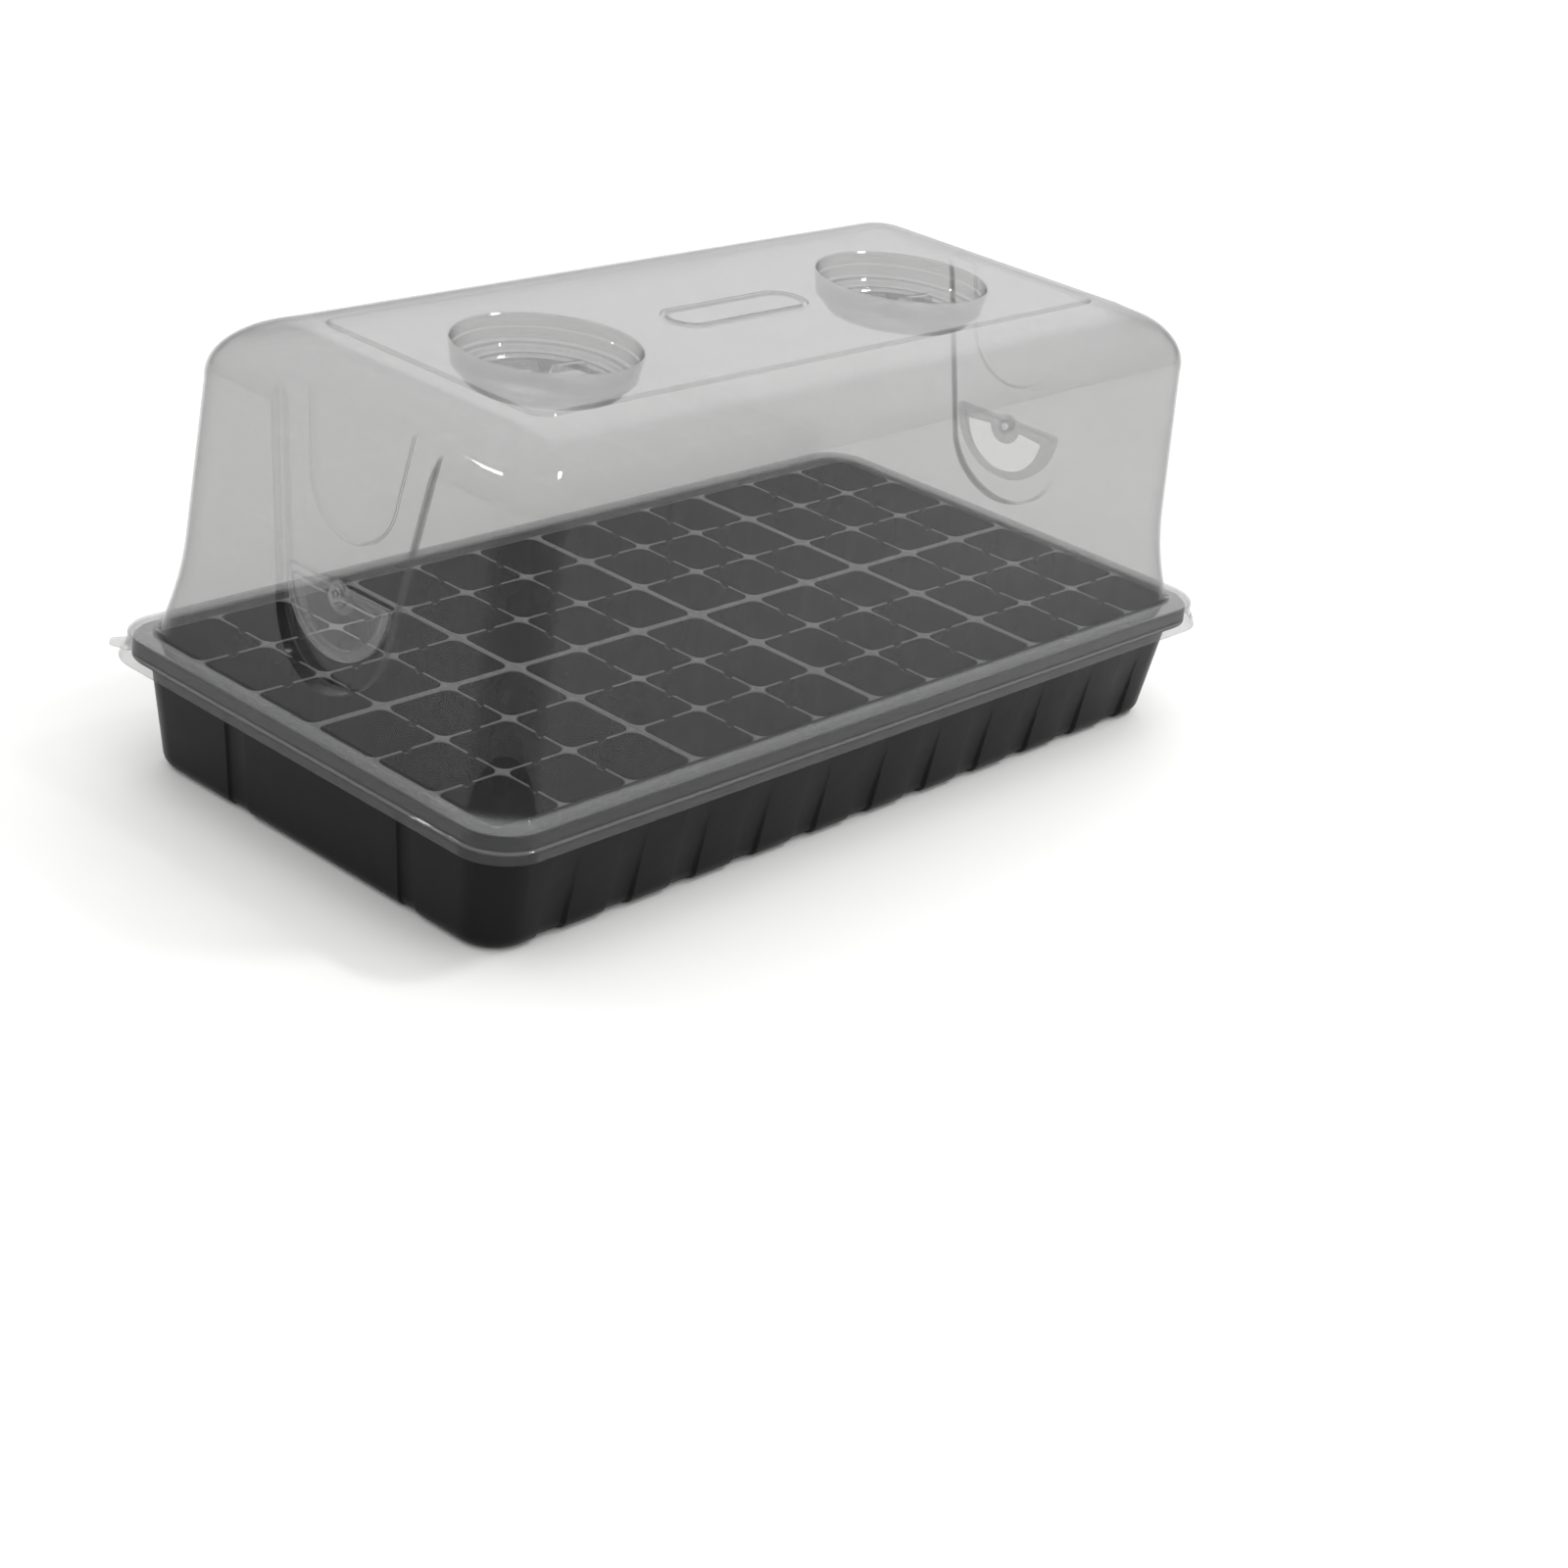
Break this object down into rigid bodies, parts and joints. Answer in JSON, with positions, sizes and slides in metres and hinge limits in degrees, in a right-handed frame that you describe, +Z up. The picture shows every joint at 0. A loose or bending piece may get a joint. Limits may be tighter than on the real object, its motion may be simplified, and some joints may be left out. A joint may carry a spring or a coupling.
{
  "type": "humidity dome tray",
  "caption": "Seedling propagation kit: shallow black tray, snap-apart cell insert and tall clear humidity dome with turning round vents on top and half-moon vents in the ends.",
  "frame": {"origin": "centre of the tray's underside, on the surface that the kit stands on", "axes": "+X along the long side towards the right end, +Y to the back, +Z up"},
  "size_m": [0.546, 0.2848, 0.233],
  "materials": {
    "tray_plastic": "black thermoformed polystyrene, satin",
    "cell_pack_plastic": "thin black thermoformed polystyrene, semi-gloss",
    "dome_plastic": "clear thermoformed sheet, glossy, slightly hazy",
    "vent_plastic": "clear moulded plastic, slightly hazy"
  },
  "bodies": {
    "tray": {"tray": "tray_plastic"},
    "insert_sheet": {"cell_pack_front_1": "cell_pack_plastic", "cell_pack_front_2": "cell_pack_plastic", "cell_pack_front_3": "cell_pack_plastic", "cell_pack_front_4": "cell_pack_plastic", "cell_pack_back_1": "cell_pack_plastic", "cell_pack_back_2": "cell_pack_plastic", "cell_pack_back_3": "cell_pack_plastic", "cell_pack_back_4": "cell_pack_plastic"},
    "dome": {"dome": "dome_plastic", "top_vent_hub_left": "vent_plastic", "top_vent_hub_right": "vent_plastic", "end_vent_rivet_left": "vent_plastic", "end_vent_rivet_right": "vent_plastic"},
    "top_vent_dial_left": {"top_vent_dial_left": "vent_plastic"},
    "top_vent_dial_right": {"top_vent_dial_right": "vent_plastic"},
    "end_vent_flap_left": {"end_vent_flap_left": "vent_plastic"},
    "end_vent_flap_right": {"end_vent_flap_right": "vent_plastic"}
  },
  "joints": [
    {"name": "insert_lift", "type": "slide", "parent": "tray", "child": "insert_sheet", "axis": [0, 0, 1], "range_m": [0, 0.08]},
    {"name": "dome_lift", "type": "slide", "parent": "insert_sheet", "child": "dome", "axis": [0, 0, 1], "range_m": [0, 0.2]},
    {"name": "top_vent_turn_left", "type": "hinge", "parent": "dome", "child": "top_vent_dial_left", "pos_m": [-0.1294, 0, 0.2138], "axis": [0, 0, 1], "range_deg": [0, 90]},
    {"name": "top_vent_turn_right", "type": "hinge", "parent": "dome", "child": "top_vent_dial_right", "pos_m": [0.1294, 0, 0.2138], "axis": [0, 0, 1], "range_deg": [0, 90]},
    {"name": "end_vent_turn_left", "type": "hinge", "parent": "dome", "child": "end_vent_flap_left", "pos_m": [-0.2455, 0, 0.1307], "axis": [-0.999, 0, 0.045], "range_deg": [0, 180]},
    {"name": "end_vent_turn_right", "type": "hinge", "parent": "dome", "child": "end_vent_flap_right", "pos_m": [0.2455, 0, 0.1307], "axis": [0.999, 0, 0.045], "range_deg": [0, 180]}
  ]
}
